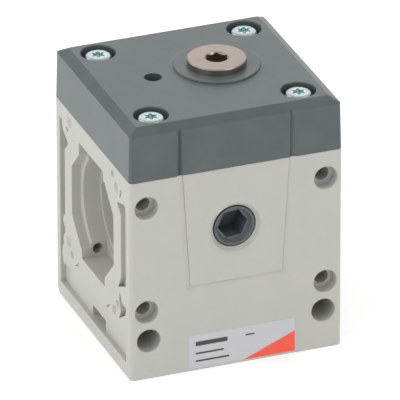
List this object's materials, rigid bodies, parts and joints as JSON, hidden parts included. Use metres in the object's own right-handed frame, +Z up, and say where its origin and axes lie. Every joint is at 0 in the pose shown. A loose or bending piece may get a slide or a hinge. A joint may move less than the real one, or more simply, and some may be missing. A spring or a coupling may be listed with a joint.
{
  "type": "pneumatic soft start valve",
  "caption": "Modular compressed-air soft-start valve: upright block with a port pocket on each side, plugged front gauge port, dark cover and a socket-head adjusting screw.",
  "frame": {"origin": "middle of the underside, where the block stands", "axes": "+X to the right (outlet side), +Y from the front face to the rear face, +Z up to the adjusting screw"},
  "size_m": [0.045, 0.043, 0.0569],
  "materials": {
    "body_grey": "moulded, fine satin",
    "cover_grey": "moulded, fine satin",
    "zinc_plated_steel": "bright zinc plate",
    "nickel_plated_brass": "satin nickel plate",
    "black_rubber": "moulded",
    "spring_steel": "oiled",
    "brass": "turned",
    "white_acetal": "turned",
    "stainless_steel": "ground",
    "aluminium": "turned",
    "plug_grey": "moulded",
    "label_film": "metallised film"
  },
  "bodies": {
    "housing": {"body": "body_grey", "cover": "cover_grey", "cover_screws": "zinc_plated_steel", "cover_oring": "black_rubber", "feed_channel_oring": "black_rubber", "needle_seat": "brass", "stem_seal": "black_rubber", "guide_plate": "aluminium", "guide_plate_oring": "black_rubber", "guide_plate_circlip": "spring_steel", "valve_seat": "brass", "valve_seat_oring": "black_rubber", "valve_seat_circlip": "spring_steel", "return_spring": "spring_steel", "gauge_port_plug": "plug_grey", "gauge_plug_oring": "black_rubber", "rating_label": "label_film"},
    "adjuster": {"adjusting_screw": "nickel_plated_brass", "adjusting_screw_oring": "black_rubber", "adjusting_screw_clip": "spring_steel"},
    "needle": {"needle": "brass"},
    "shuttle": {"piston": "white_acetal", "piston_seal": "black_rubber", "stem": "stainless_steel", "stem_clip": "spring_steel", "main_poppet": "brass", "poppet_seal": "black_rubber"}
  },
  "joints": [
    {"name": "adjusting_turn", "type": "hinge", "parent": "housing", "child": "adjuster", "pos_m": [0.0044, 0.001, 0.0556], "axis": [0, 0, 1], "range_deg": [0, 1170]},
    {"name": "needle_lift", "type": "slide", "parent": "housing", "child": "needle", "axis": [0, 0, 1], "range_m": [0, 0.00228]},
    {"name": "valve_stroke", "type": "slide", "parent": "housing", "child": "shuttle", "axis": [0, 0, -1], "range_m": [0, 0.0025], "stiffness_N_per_m": 400, "springref_m": -0.015, "deforming": ["return_spring"]}
  ],
  "couplings": [
    {"joint": "adjusting_turn", "follows": "needle_lift", "rad_per_m": 8976}
  ]
}
